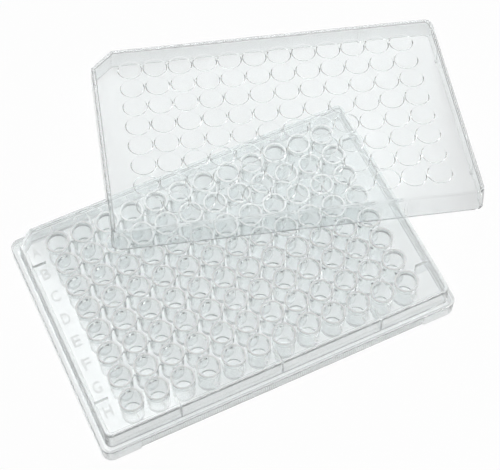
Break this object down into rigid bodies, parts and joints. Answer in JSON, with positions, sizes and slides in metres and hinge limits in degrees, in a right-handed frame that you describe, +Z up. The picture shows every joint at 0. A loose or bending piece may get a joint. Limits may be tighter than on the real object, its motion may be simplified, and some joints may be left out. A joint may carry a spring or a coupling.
{
  "type": "microtiter plate with lid",
  "caption": "Clear plastic well plate on a stepped flange, with raised well rims, a cut corner and a shallow ribbed lid lying askew across one corner.",
  "frame": {"origin": "on the floor, under the middle of the plate and lid together", "axes": "+X along the plate's rows from column 1 to the last column, +Y from row H to row A, +Z up"},
  "size_m": [0.1736, 0.1398, 0.0262],
  "materials": {
    "plate_plastic": "clear polished polystyrene",
    "lid_plastic": "clear polished polystyrene"
  },
  "bodies": {
    "root": {"plate": "plate_plastic", "lid": "lid_plastic"}
  },
  "joints": []
}
